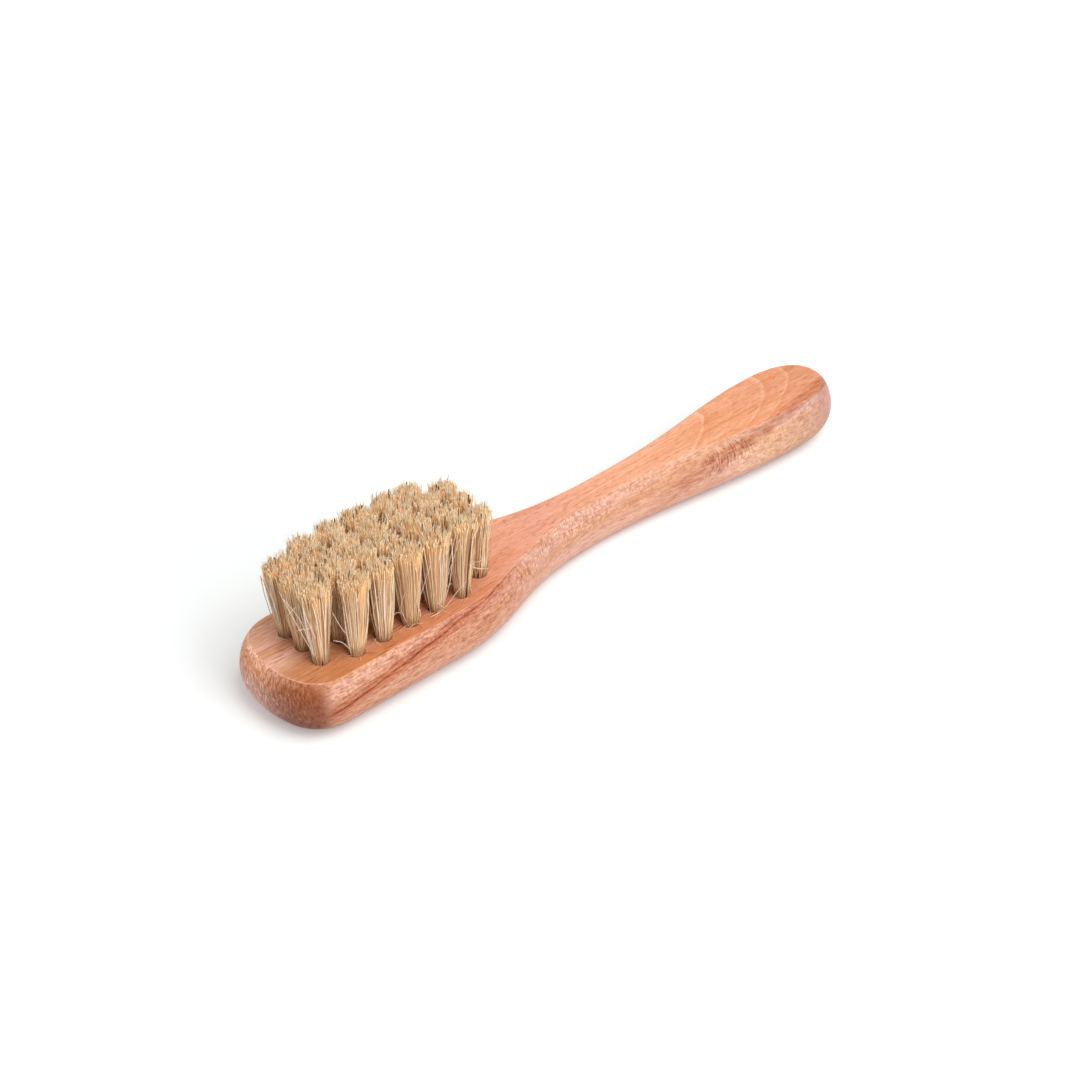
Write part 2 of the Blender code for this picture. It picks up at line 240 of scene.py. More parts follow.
woodLook = {
    # colours along the brush, from the tip of the head to the end of the handle
    "planedStops": [
        (0.0, (0.90, 0.49, 0.33)),
        (0.12, (0.86, 0.40, 0.23)),
        (0.34, (0.84, 0.36, 0.21)),
        (0.45, (0.83, 0.36, 0.225)),
        (0.62, (0.93, 0.44, 0.26)),
        (0.8, (0.88, 0.37, 0.18)),
        (1.0, (0.79, 0.335, 0.185)),
    ],
    # the rounded sides are darker than the planed face: partly the wood's own colour, partly painted shade
    "roundedStops": [
        (0.0, (0.54, 0.24, 0.15)),
        (0.12, (0.60, 0.27, 0.155)),
        (0.34, (0.60, 0.275, 0.174)),
        (0.42, (0.65, 0.34, 0.237)),
        (0.62, (0.70, 0.35, 0.225)),
        (0.84, (0.64, 0.325, 0.213)),
        (0.95, (0.52, 0.26, 0.198)),
        (1.0, (0.58, 0.33, 0.28)),
    ],
    # colours of the end grain at the tip, from the floor up: its own dark colour, partly painted shade, and a
    # little paler at the bottom as a painted reflection of the floor
    "tipStops": [
        (0.0, (0.33, 0.118, 0.078)),
        (0.3, (0.29, 0.102, 0.058)),
        (0.6, (0.29, 0.094, 0.047)),
        (0.85, (0.31, 0.085, 0.028)),
        (1.0, (0.42, 0.145, 0.065)),
    ],
    # by how far the surface faces up, to the tip of the head, and to the end of the handle
    "planedFacing": (0.93, 0.985),
    "tipFacing": (0.25, 0.6),
    "endFacing": (0.3, 0.8),
    "zones": {
        "head": [("x", -14.0, -34.0)],
        "neck": [("x", -38.0, -26.0), ("x", 14.0, -6.0, 0.3, 1.0)],
    },
    # the grain: slow waves that bend it, and how far
    "bendScale": (0.02, 0.05, 0.05),
    "bendReach": (5.0, 2.0, 2.0),
    # streaks along the grain: on which places, size, contrast and share in the shade
    "streaks": {
        "fine": ("flat", (3.0, 0.28, 0.28), 1.5, 0.42),
        "narrow": ("bent", (20.0, 0.42, 0.42), 1.8, 0.28),
        "wide": ("bent", (50.0, 1.5, 1.5), 1.6, 0.2),
    },
    "shadeBase": 0.55,
    "redPower": 0.6,  # of the shade, which changes green as it is
    "bluePower": 1.25,
    # textures: on which places, scale in each direction, detail, roughness and swirl
    "textures": {
        "drift": ("bent", (0.02, 0.3, 0.3), 3.0, 0.55),
        "stripes": ("bent", (0.02, 0.62, 0.3), 1.0),
        "layers": ("bent", (0.012, 0.62, 0.3), 1.0, 0.4),
        "faint": ("flat", (0.1, 0.8, 0.8)),
        "speckle": ("flat", (1.6, 1.1, 1.1)),
        "tears": ("bent", (0.3, 1.6, 1.6), 3.0, 0.6),
        "wobble": ("flat", (0.2, 0.45, 0.45), 3.0, 0.6),
        "sway": ("flat", (0.16, 0.3, 0.6), 3.0),
        "breaks": ("flat", (0.2, 1.0, 1.4), 3.0, 0.6),
        "ticks": ("bent", (0.55, 3.4, 1.0), 1.0),
        "slant": ("bent", (0.45, 1.2, 3.4)),
        "patches": ("flat", (0.12, 0.2, 0.35)),
        "dots": ("flat", (1.5, 1.5, 1.6), 1.0),
        "strokes": ("flat", (3.3, 0.5, 0.5), 1.5),
        "curl": ("flat", (0.85, 0.8, 1.0), 1.5, 0.5, 0.9),
        "glints": ("leaning", (1.8, 2.7, 0.9), 2.0, 0.6),
        "glintPatches": ("flat", (0.3, 0.3, 0.25)),
    },
    "marks": [
        # slow changes of colour
        ((0.72, 0.56, 0.37), [("y", 1.5, -6.0), ("x", -60.0, -72.0, 0.55, 1.0), "head", "planed"]),
        (palePatch, [("stripes", 0.48, 0.58), ("x", -62.0, -74.0), ("y", -5.0, 2.0), "planed"]),
        ((1.05, 1.12, 1.26), [("drift", 0.45, 0.66)]),
        ((0.94, 0.88, 0.76), [("drift", 0.5, 0.34)]),
        # painted shade: darker and more purple towards the floor, along the bottom of the body
        ((0.72, 0.56, 0.6), [("z", 4.0, 0.5)]),
        # thin dark lines on the planed face of the head
        ((0.58, 0.36, 0.28), [("lineAway", 0.14, 0.01), ("faint", 0.35, 0.6), "head", "planed", 0.9]),
        # year rings on the planed face of the grip
        ((1.12, 1.36, 1.62), ["rings", ("speckle", 0.35, 0.6, 0.5, 1.0), "planed", 0.8]),
        ((0.95, 0.88, 0.8), ["ringTails", "planed"]),
        # a torn brown band that climbs the near side of the grip, and the arches in it
        ((0.74, 0.56, 0.48), [("bandAway", 1.1, 0.4), "torn", ("x", 20.0, 31.0), ("y", 0.0, -4.5)]),
        ((0.66, 0.46, 0.4), [("arches", 0.5, 0.38), *archZone]),
        ((1.15, 1.32, 1.38), [("arches", 0.52, 0.64), *archZone]),
        # a dark broken vein and a fainter one beside it, along the side of the head in a reddish halo
        ((0.84, 0.6, 0.46), [("veinAway", 2.6, 0.3), "head", "side"]),
        (palePatch, [("fromVein", 1.6, 4.2), "head", "side"]),
        ((0.36, 0.16, 0.13), [("veinAway", 0.34, 0.08), ("breaks", 0.4, 0.55, 0.3, 0.9), "head", "side"]),
        ((0.36, 0.16, 0.13), [("sideVeinAway", 0.26, 0.05), ("breaks", 0.4, 0.55), "head", "side", 0.6]),
        # rays: thin dashes along the planed face
        (rayDark, dashZone),
        (rayPale, [("ticks", 0.58, 0.7), "planed", 0.4]),
        # rays on the sides: slashes along the grain, dots, and upright strokes under the edge of the neck
        *figureMarks("slant", 0.1, 0.8, 0.5, ["side", ("x", -12.0, -34.0, 0.55, 1.0)]),
        *figureMarks("dots", 0.1, 0.6, 0.75,
                     ["side", ("z", 3.0, 11.0, 0.15, 0.75), patchy, ("x", 8.0, 36.0, 1.0, 0.2)]),
        *figureMarks("strokes", 0.1, 1.0, 0.7, [("z", 6.5, 12.0), patchy, "side", "neck"]),
        # cream curled figure on the side of the grip, past the band, and a pale strip above it
        ((1.18, 1.32, 1.34), [*curlZone, 0.75]),
        *figureMarks("curl", 0.14, 0.5, 0.4, curlZone),
        (palePatch, [("z", 11.4, 12.5), "side", ("x", 4.0, 18.0), ("x", 56.0, 46.0), ("curl", 0.42, 0.56)]),
    ],
    # end grain: fine leaning streaks and pale glints, with plum coloured wood under them
    "tipMarks": [
        # paler towards the far side of the tip: partly the wood's own paler tone, partly painted light
        ((2.6, 4.0, 6.0), [("y", -10.5, 5.0)]),
        ((0.66, 0.5, 0.72), [("plumAway", 1.2, 0.2), ("y", 1.0, -7.0), "torn"]),
        (rayDark, [("glints", 0.48, 0.38), 0.9]),
        ((1.6, 2.0, 2.3), [("glints", 0.52, 0.66), ("y", -12.5, -8.0, 0.3, 1.0),
                           ("glintPatches", 0.36, 0.58, 0.35, 1.0)]),
    ],
    # a painted highlight along the sanded edge round the planed face
    "edgeMarks": [
        ((1.4, 1.5, 1.5), [("up", 0.87, 0.9), ("up", 0.998, 0.98), ("z", 12.6, 12.9),
                           ("tip", 0.0, 0.5, 0.4, 1.0)]),
    ],
    "tipLean": 0.4,  # of the streaks in the end grain, in radians
    "plumHeight": 3.9,
    "plumRagged": 4.0,
    "torn": (0.36, 0.56, 0.3, 1.0),
    "lineTurns": 10.0,  # how many dark lines the layers make
    "roughness": 0.42,
    "grainRoughness": 0.25,
    "tipRoughness": 0.12,
    "gloss": 0.25,
    "bumpDepth": 0.00012,
    "bumpStrength": 0.4,
    "relief": [(["fine"], 0.5), (["narrow"], 0.4), (dashZone, -0.5), (["strokes", "side", "neck"], 0.5)],
}
# arcs across the grip, each rising slowly to a pale crest, with duller wood behind it
ringShape = {
    "places": [(46.9, 1.0), (56.0, 0.45), (66.8, 1.0), (74.8, 0.9)],  # and the strength of each
    "middle": 6.0,
    "bow": 0.11,
    "ragged": 2.4,
    "rise": 1.5,
    "crest": (0.1, 0.45),
    "tail": (0.5, 4.0),
}
# the band climbs by a slope from its height in the middle of the brush, and turns in over the planed face
bandShape = {
    "slope": -0.155,
    "height": 3.8,
    "ragged": 2.2,
    "turnFrom": 8.0,
    "turn": 0.9,
    "width": (30.0, 56.0, 3.0, 1.7),
    "archMiddle": 9.5,
    "archBow": 0.09,
    "archTexture": ((2.5, 0.5, 0.6), 1.5),
}
veinShape = {"slope": -0.157, "height": 18.83, "across": 0.4, "shift": 5.1, "sway": 1.6, "sideVein": 1.1}


# how far a place is from a line that rises or falls by a slope along the brush
def fromSlope(tree, at, slope, height):
    return calc(tree, "ADD", at["z"], calc(tree, "MULTIPLY_ADD", at["x"], slope, -height))


def addRings(tree, at, shape):
    across = calc(tree, "SUBTRACT", at["y"], shape.middle)
    bowed = calc(tree, "MULTIPLY_ADD", product(tree, across, across), shape.bow, at["x"])
    place = calc(tree, "MULTIPLY_ADD", at["ragged"], shape.ragged, bowed)
    (crestStart, crestEnd), (tailStart, tailEnd) = shape.crest, shape.tail
    at["rings"] = at["ringTails"] = 0.0
    for middle, strength in shape.places:
        crest = product(tree, ease(tree, place, middle - shape.rise * strength, middle),
                        ease(tree, place, middle + crestEnd, middle + crestStart), strength)
        tail = product(tree, ease(tree, place, middle + crestStart, middle + crestEnd),
                       ease(tree, place, middle + tailEnd, middle + tailStart), strength)
        at["rings"] = calc(tree, "MAXIMUM", at["rings"], crest)
        at["ringTails"] = calc(tree, "MAXIMUM", at["ringTails"], tail)


def addBand(tree, at, shape):
    inward = calc(tree, "MAXIMUM", calc(tree, "ADD", at["y"], shape.turnFrom), 0.0)
    wander = calc(tree, "MULTIPLY_ADD", at["ragged"], shape.ragged, product(tree, inward, shape.turn))
    at["fromBand"] = calc(tree, "ADD", fromSlope(tree, at, shape.slope, shape.height), wander)
    at["bandAway"] = calc(tree, "DIVIDE", calc(tree, "ABSOLUTE", at["fromBand"]),
                          ease(tree, at["x"], *shape.width))
    above = calc(tree, "SUBTRACT", at["z"], shape.archMiddle)
    arched = calc(tree, "MULTIPLY_ADD", product(tree, above, above), shape.archBow, at["x"])
    archPlace = addNode(tree, "CombineXYZ", {0: arched, 1: at["y"], 2: at["z"]}).outputs[0]
    at["arches"] = cloud(tree, archPlace, *shape.archTexture)


def addVein(tree, at, shape):
    level = calc(tree, "ADD", fromSlope(tree, at, shape.slope, shape.height),
                 calc(tree, "MULTIPLY_ADD", at["y"], shape.across, shape.shift))
    at["fromVein"] = calc(tree, "ADD", level, product(tree, at["sway"], shape.sway))
    at["veinAway"] = calc(tree, "ABSOLUTE", at["fromVein"])
    at["sideVeinAway"] = calc(tree, "ABSOLUTE", calc(tree, "SUBTRACT", at["fromVein"], shape.sideVein))


# every value that the zones of the wood name
def woodValues(tree, look):
    flat = placeInMm(tree)
    waves = calcVector(tree, "ADD", cloud(tree, flat, look.bendScale, output="Color"), (-0.5, -0.5, -0.5))
    x, y, z = addNode(tree, "SeparateXYZ", {0: flat}).outputs
    endward, _, up = addNode(tree, "SeparateXYZ", {0: addNode(tree, "TexCoord").outputs["Normal"]}).outputs
    planed = ease(tree, up, *look.planedFacing)
    rounded = calc(tree, "SUBTRACT", 1.0, planed)
    tip = ease(tree, product(tree, endward, -1.0), *look.tipFacing)
    ends = calc(tree, "MAXIMUM", tip, ease(tree, endward, *look.endFacing))
    at = {
        "x": x, "y": y, "z": z, "up": up, "planed": planed, "rounded": rounded, "tip": tip,
        "side": product(tree, rounded, calc(tree, "SUBTRACT", 1.0, ends)),
        "flat": flat,
        "bent": calcVector(tree, "ADD", flat, calcVector(tree, "MULTIPLY", waves, look.bendReach)),
        "leaning": addNode(tree, "VectorRotate", {"Vector": flat, "Angle": look.tipLean},
                           rotation_type="X_AXIS").outputs[0],
    }
    for name, zone in look.zones.items():
        at[name] = zoneMask(tree, at, zone)
    for name, (places, size, contrast, _) in look.streaks.items():
        at[name] = useGrain(tree, at[places], size, contrast)
    for name, (places, *texture) in look.textures.items():
        at[name] = cloud(tree, at[places], *texture)
    at["ragged"] = calc(tree, "SUBTRACT", at["wobble"], 0.5)
    addRings(tree, at, Named(**ringShape))
    addBand(tree, at, Named(**bandShape))
    addVein(tree, at, Named(**veinShape))
    at["torn"] = ease(tree, at["tears"], *look.torn)
    at["lineAway"] = calc(tree, "PINGPONG", product(tree, at["layers"], look.lineTurns), 0.5)
    fromPlum = calc(tree, "MULTIPLY_ADD", at["ragged"], look.plumRagged,
                    calc(tree, "SUBTRACT", z, look.plumHeight))
    at["plumAway"] = calc(tree, "ABSOLUTE", fromPlum)
    return at


def makeWood(look):
    wood, tree, shader = startMaterial("oiled_hardwood")
    at = woodValues(tree, look)
    along = calc(tree, "MULTIPLY_ADD", at["x"], mm / (cadBox[1][0] - cadBox[0][0]), 0.5)
    # the colours of the planed face and of the sides, whose darker colours are partly painted shade
    colour = mixColour(tree, at["planed"], colourRamp(tree, along, look.roundedStops),
                       colourRamp(tree, along, look.planedStops))
    shade = look.shadeBase
    for name, (*_, share) in look.streaks.items():
        shade = calc(tree, "MULTIPLY_ADD", at[name], share, shade)
    shades = {"Red": calc(tree, "POWER", shade, look.redPower), "Green": shade,
              "Blue": calc(tree, "POWER", shade, look.bluePower)}
    colour = mixColour(tree, 1.0, colour, addNode(tree, "CombineColor", shades).outputs["Color"], "MULTIPLY")
    colour = addMarks(tree, at, colour, look.marks)

    # the end grain at the tip, with its painted shade and painted light
    tipColour = colourRamp(tree, calc(tree, "DIVIDE", at["z"], faceHeight / mm), look.tipStops)
    tipColour = addMarks(tree, at, tipColour, look.tipMarks)
    colour = mixColour(tree, at["tip"], colour, mixColour(tree, at["rounded"], colour, tipColour))
    # the painted highlight along the edge of the planed face
    colour = addMarks(tree, at, colour, look.edgeMarks)
    tree.links.new(colour, shader.inputs["Base Color"])
    shader.inputs["Specular IOR Level"].default_value = look.gloss

    uneven = calc(tree, "SUBTRACT", at["fine"], 0.5)
    rough = calc(tree, "MULTIPLY_ADD", uneven, look.grainRoughness, look.roughness)
    rough = calc(tree, "MULTIPLY_ADD", at["tip"], look.tipRoughness, rough)
    tree.links.new(rough, shader.inputs["Roughness"])
    height = 0.0
    for zone, share in look.relief:
        height = calc(tree, "MULTIPLY_ADD", zoneMask(tree, at, zone), share, height)
    bump = addNode(tree, "Bump", {"Strength": look.bumpStrength, "Distance": look.bumpDepth,
                                  "Height": height})
    tree.links.new(bump.outputs["Normal"], shader.inputs["Normal"])
    return wood


woodMaterial = makeWood(Named(**woodLook))
print("wood material done")


# Bristle

bristleLook = {
    # by the tone that each hair has, most of them blond and a few brown or black
    "toneStops": [
        (0.0, (0.54, 0.30, 0.15)),
        (0.12, (0.80, 0.51, 0.28)),
        (0.3, (0.94, 0.67, 0.40)),
        (0.6, (0.98, 0.78, 0.52)),
        (0.85, (1.0, 0.90, 0.76)),
        (0.97, (1.0, 0.93, 0.82)),
        (0.974, (0.40, 0.15, 0.06)),
        (0.982, (0.24, 0.085, 0.04)),
        (0.986, (0.025, 0.015, 0.013)),
    ],
    "grain": {"fibres": ((0.13, 0.13, 4.0), 1.8), "mottle": ((0.4, 0.4, 5.0), 1.2)},  # size, contrast
    # rise goes from 0 at the planed face to 1 at the tips
    "marks": [
        # painted shade: darker towards the feet of the bristles
        ((0.62, 0.52, 0.42), [("rise", 0.2, 0.0)]),
        ((1.0, 0.93, 0.88), [("rise", 0.9, 0.7)]),
        # golden below the tips: partly the bristle's own tone, partly painted shade in the depths between the
        # tips
        ((0.98, 0.64, 0.31), [("rise", 0.74, 0.92, 0.0, 0.65), ("tone", 0.973, 0.97)], "MIX"),
        ((1.0, 0.88, 0.64), [("rise", 0.945, 0.99, 0.0, 0.85), ("tone", 0.973, 0.97)], "MIX"),
        ((0.82, 0.66, 0.46), [("tone", 0.3, 0.0), ("rise", 0.7, 0.9)]),
        ((0.88, 0.80, 0.72), [("fibres", 0.5, 0.3)]),
        ((0.84, 0.76, 0.66), [("mottle", 0.6, 0.35, 0.0, 0.4)]),
    ],
    "roughness": (0.3, 0.7, 0.32, 0.47),  # rises with the mottle, from its first value to its second
}


def makeBristle(look):
    bristle, tree, shader = startMaterial("boar_bristle")
    place = placeInMm(tree)
    at = {name: addNode(tree, "Attribute", attribute_name=name).outputs["Fac"] for name in ("tone", "rise")}
    for name, (size, contrast) in look.grain.items():
        at[name] = useGrain(tree, place, size, contrast)
    colour = colourRamp(tree, at["tone"], look.toneStops)
    colour = addMarks(tree, at, colour, look.marks)
    tree.links.new(colour, shader.inputs["Base Color"])
    tree.links.new(ease(tree, at["mottle"], *look.roughness), shader.inputs["Roughness"])
    return bristle


bristleMaterial = makeBristle(Named(**bristleLook))


# Staple wire

wireLook = {
    "steel": (0.58, 0.57, 0.55),
    "tarnish": (0.33, 0.28, 0.24),
    "spotSize": 0.3,
    "spotShare": 0.35,  # of the places that have one
    "spotFade": (0.46, 0.06),
    "ragged": (1.7, 2.0, 0.5),  # scale, detail and reach
    "lines": ((0.05, 1.2, 0.05), 1.5),  # that drawing leaves along the wire: size, contrast
    "roughness": (0.2, 0.8, 0.32, 0.52),  # rises with the lines, from their first value to their second
    "bumpDepth": 0.00002,
    "bumpStrength": 0.2,
}


def makeWire(look):
    wire, tree, shader = startMaterial("drawn_wire")
    place = placeInMm(tree)
    cells = calcVector(tree, "DIVIDE", place, (look.spotSize,) * 3)
    scale, detail, reach = look.ragged
    shift = addNode(tree, "TexNoise", {"Vector": cells, "Scale": scale, "Detail": detail}).outputs["Color"]
    ragged = calcVector(tree, "ADD", cells, calcVector(tree, "MULTIPLY", shift, (reach,) * 3))
    spots = addNode(tree, "TexVoronoi", {"Vector": ragged, "Scale": 1.0}).outputs
    pick = addNode(tree, "SeparateColor", {"Color": spots["Color"]}).outputs["Red"]
    spotted = product(tree, ease(tree, spots["Distance"], *look.spotFade),
                      calc(tree, "LESS_THAN", pick, look.spotShare))
    lines = useGrain(tree, place, *look.lines)
    tree.links.new(mixColour(tree, spotted, look.steel, look.tarnish), shader.inputs["Base Color"])
    shader.inputs["Metallic"].default_value = 1.0
    tree.links.new(ease(tree, lines, *look.roughness), shader.inputs["Roughness"])
    bump = addNode(tree, "Bump", {"Strength": look.bumpStrength, "Distance": look.bumpDepth,
                                  "Height": lines})
    tree.links.new(bump.outputs["Normal"], shader.inputs["Normal"])
    return wire


wireMaterial = makeWire(Named(**wireLook))
for name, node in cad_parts.items():
    if name.startswith("staple_"):
        node.material_slots[0].material = wireMaterial
print("bristle and wire materials done")


# Wooden body: the same sections as the solid, with finer steps and a broken edge round the planed face

bodyShape = {
    "headLength": 0.041,
    "headWidth": 0.0306,
    "tipLength": 0.0124,
    "shoulderLength": 0.051,
    "neckWidth": 0.0105,
    "swellLength": 0.0556,
    "gripWidth": 0.0209,
    "endLength": 0.0174,
    "endPower": 2.35,
    "shoulderShares": (0.38, 0.56),  # of a sweep, how long it leaves its start and meets its end level
    "gripShares": (0.27, 0.35),
    "bellyHeight": 0.006,
    "edgeArc": math.radians(60),
    "headInset": 0.00255,
    "neckInset": 0.0018,
    "gripInset": 0.0032,
    "endInset": 0.0025,
    "backRounding": 0.0063,
    "landEasing": 0.0015,
    "brokenEdge": 0.0002,  # how far the sanding has rounded the edge of the planed face
    "edgeDown": 2.0,  # in broken edges: how far the rounding goes down the side, in over the face,
    "edgeIn": 1.4,
    "edgeFlat": 2.4,  # and where the level face starts
    "creaseAngle": math.radians(32),
    "tipSteps": 44,
    "headSteps": 26,
    "shoulderSteps": 60,
    "gripSteps": 64,
    "upperSteps": 16,
    "edgeSteps": 5,
    "lowerSteps": 20,
}
drillShape = {
    "radius": 0.00175,
    "depth": 0.007,
    "pointAngle": math.radians(118),
    "pointShare": 0.025,  # of the radius that is left at the point
    "rim": 0.00012,  # the small chamfer that sanding leaves round a hole
    "sides": 28,
    "legDepth": 0.0023,
    "legHalfWidth": 0.0004,
    "legInner": 0.00085,
    "legOuter": 0.0016,
}


def smoothMix(share, start, end):
    return start + (end - start) * share * share * (3 - 2 * share)


# a sweep that leaves and meets its ends level
def sweep(start, end, shares, steps):
    run = end[0] - start[0]
    near, far = start[0] + shares[0] * run, end[0] - shares[1] * run
    points = []
    for step in range(1, steps + 1):
        t = step / steps
        s = 1 - t
        x = s**3 * start[0] + 3 * s * s * t * near + 3 * s * t * t * far + t**3 * end[0]
        points.append((x, smoothMix(t, start[1], end[1])))
    return points


def outlineStations(shape):
    neckAt = shape.headLength + shape.shoulderLength
    gripAt = neckAt + shape.swellLength
    half = shape.headWidth / 2
    straight = shape.headLength - shape.tipLength
    steps = range(1, shape.headSteps + 1)
    head = [(shape.tipLength + straight * i / shape.headSteps, half) for i in steps]
    neck = (neckAt, shape.neckWidth / 2)
    grip = (gripAt, shape.gripWidth / 2)
    shoulder = sweep((shape.headLength, half), neck, shape.shoulderShares, shape.shoulderSteps)
    return head + shoulder + sweep(neck, grip, shape.gripShares, shape.gripSteps)


# how far in the edge of the planed face lies, eased from one place along the body to the next
def faceInset(shape, distance):
    neckAt = shape.headLength + shape.shoulderLength
    gripAt = neckAt + shape.swellLength
    places = (shape.headLength, neckAt, (neckAt + gripAt) / 2, gripAt)
    insets = (shape.headInset, shape.neckInset, shape.gripInset, shape.endInset)
    result = shape.headInset
    for i in range(len(places) - 1):
        share = (distance - places[i]) / (places[i + 1] - places[i])
        if share > 0:
            result = smoothMix(min(share, 1.0), insets[i], insets[i + 1])
    return result


def backInset(shape, halfWidth):
    spare = halfWidth - shape.backRounding
    return halfWidth - (spare + math.hypot(spare, 2 * shape.landEasing)) / 2


# inset and height of every level at one place, from the middle of the face down to the land on the back
def sectionLevels(shape, distance, halfWidth):
    inset = faceInset(shape, distance)
    arc, belly = shape.edgeArc, shape.bellyHeight

    def onArc(angle):
        rise = math.sin(angle) / math.sin(arc)
        share = (1 - math.cos(angle)) / (1 - math.cos(arc))
        return inset * share, belly + (faceHeight - belly) * rise

    below = arc - shape.edgeDown * shape.brokenEdge / (faceHeight - belly)
    low, corner = onArc(below), (inset, faceHeight)
    flat = (inset + shape.edgeIn * shape.brokenEdge, faceHeight)
    levels = [(inset + shape.edgeFlat * shape.brokenEdge, faceHeight)]
    for step in range(shape.edgeSteps):
        t = step / shape.edgeSteps
        levels.append(tuple((1 - t) ** 2 * a + 2 * t * (1 - t) * b + t * t * c
                            for a, b, c in zip(flat, corner, low)))
    levels += [onArc(below * (1 - step / shape.upperSteps)) for step in range(shape.upperSteps + 1)]
    lowest = backInset(shape, halfWidth)
    for step in range(1, shape.lowerSteps + 1):
        angle = math.pi / 2 * step / shape.lowerSteps
        levels.append((lowest * (1 - math.cos(angle)), belly * (1 - math.sin(angle))))
    return levels


# a quarter of a superellipse from the middle line to the side, about a place along the body
def roundEnd(shape, place, reach, width, level):
    inset, height = level
    power, steps = 2 / shape.endPower, shape.tipSteps
    angles = [math.pi / 2 * step / steps for step in range(steps + 1)]
    side = math.copysign(inset, reach)
    return [(place + (reach - side) * math.cos(angle) ** power,
             (width / 2 - inset) * math.sin(angle) ** power, height) for angle in angles]


def bodyLoops(shape):
    stations = outlineStations(shape)
    gripAt = shape.headLength + shape.shoulderLength + shape.swellLength
    middle = (gripAt + shape.endLength) / 2
    tipLevels = sectionLevels(shape, shape.tipLength, shape.headWidth / 2)
    endLevels = sectionLevels(shape, gripAt, shape.gripWidth / 2)
    sideLevels = [sectionLevels(shape, x, half) for x, half in stations]
    loops = []
    for i in range(len(tipLevels)):
        half = roundEnd(shape, shape.tipLength, -shape.tipLength, shape.headWidth, tipLevels[i])
        half += [(x, width - levels[i][0], levels[i][1]) for (x, width), levels in zip(stations, sideLevels)]
        half += roundEnd(shape, gripAt, shape.endLength, shape.gripWidth, endLevels[i])[-2::-1]
        near = [(x - middle, -y, z) for x, y, z in half]
        loops.append(near + [(x - middle, y, z) for x, y, z in half[-2:0:-1]])
    return loops


def loft(bm, loops):
    rows = [[bm.verts.new(point) for point in loop] for loop in loops]
    for upper, lower in zip(rows, rows[1:]):
        for i in range(len(upper)):
            j = (i + 1) % len(upper)
            bm.faces.new((upper[i], upper[j], lower[j], lower[i]))
    bm.faces.new(rows[0])
    bm.faces.new(rows[-1])


def addMesh(name, bm):
    bmesh.ops.recalc_face_normals(bm, faces=bm.faces)
    mesh = bpy.data.meshes.new(name)
    bm.to_mesh(mesh)
    bm.free()
    piece = bpy.data.objects.new(name, mesh)
    bpy.context.scene.collection.objects.link(piece)
    return piece


def circle(x, y, z, radius, sides):
    angles = [math.tau * i / sides for i in range(sides)]
    return [(x + radius * math.cos(angle), y + radius * math.sin(angle), z) for angle in angles]


# each hole is where its staple is
def holePlaces():
    places = []
    for number in range(1, tuftCount + 1):
        low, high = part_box(f"staple_{number:02d}")
        places.append(((low.x + high.x) / 2, (low.y + high.y) / 2))
    return places


def drillCutter(drill):
    bm = bmesh.new()
    overrun = 2 * drill.rim
    bottom = faceHeight - drill.depth
    radius = drill.radius
    levels = [(faceHeight + overrun, radius + drill.rim + overrun),
              (faceHeight - drill.rim, radius),
              (bottom, radius),
              (bottom - radius / math.tan(drill.pointAngle / 2), radius * drill.pointShare)]
    for x, y in holePlaces():
        loft(bm, [circle(x, y, z, r, drill.sides) for z, r in levels])
    return addMesh("drill", bm)


def slotCutter(drill):
    bm = bmesh.new()
    bottom = faceHeight - drill.depth
    half, inner, outer = drill.legHalfWidth, drill.legInner, drill.legOuter
    corners = [(-half, inner), (half, inner), (half, outer), (-half, outer)]
    for x, y in holePlaces():
        for side in (-1, 1):
            loft(bm, [[(x + u, y + side * v, z) for u, v in corners]
                      for z in (bottom + drill.rim, bottom - drill.legDepth)])
    return addMesh("slots", bm)


def cut(piece, cutter):
    modifier = piece.modifiers.new("cut", "BOOLEAN")
    modifier.operation = "DIFFERENCE"
    modifier.object = cutter
    bpy.context.view_layer.update()
    result = bpy.data.meshes.new_from_object(piece.evaluated_get(bpy.context.evaluated_depsgraph_get()))
    piece.modifiers.clear()
    piece.data = result
    bpy.data.objects.remove(cutter)


def makeBody(shape, drill):
    bm = bmesh.new()
    loft(bm, bodyLoops(shape))
    body = addMesh("wooden_body", bm)
    cut(body, drillCutter(drill))
    cut(body, slotCutter(drill))
    body.data.shade_smooth()
    body.data.set_sharp_from_angle(angle=shape.creaseAngle)
    body.data.materials.clear()
    body.data.materials.append(woodMaterial)
    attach(body, "root")
    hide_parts("handle_body")
    return body


body = makeBody(Named(**bodyShape), Named(**drillShape))
print("wooden body done,", len(body.data.polygons), "faces")


# Bristle tufts

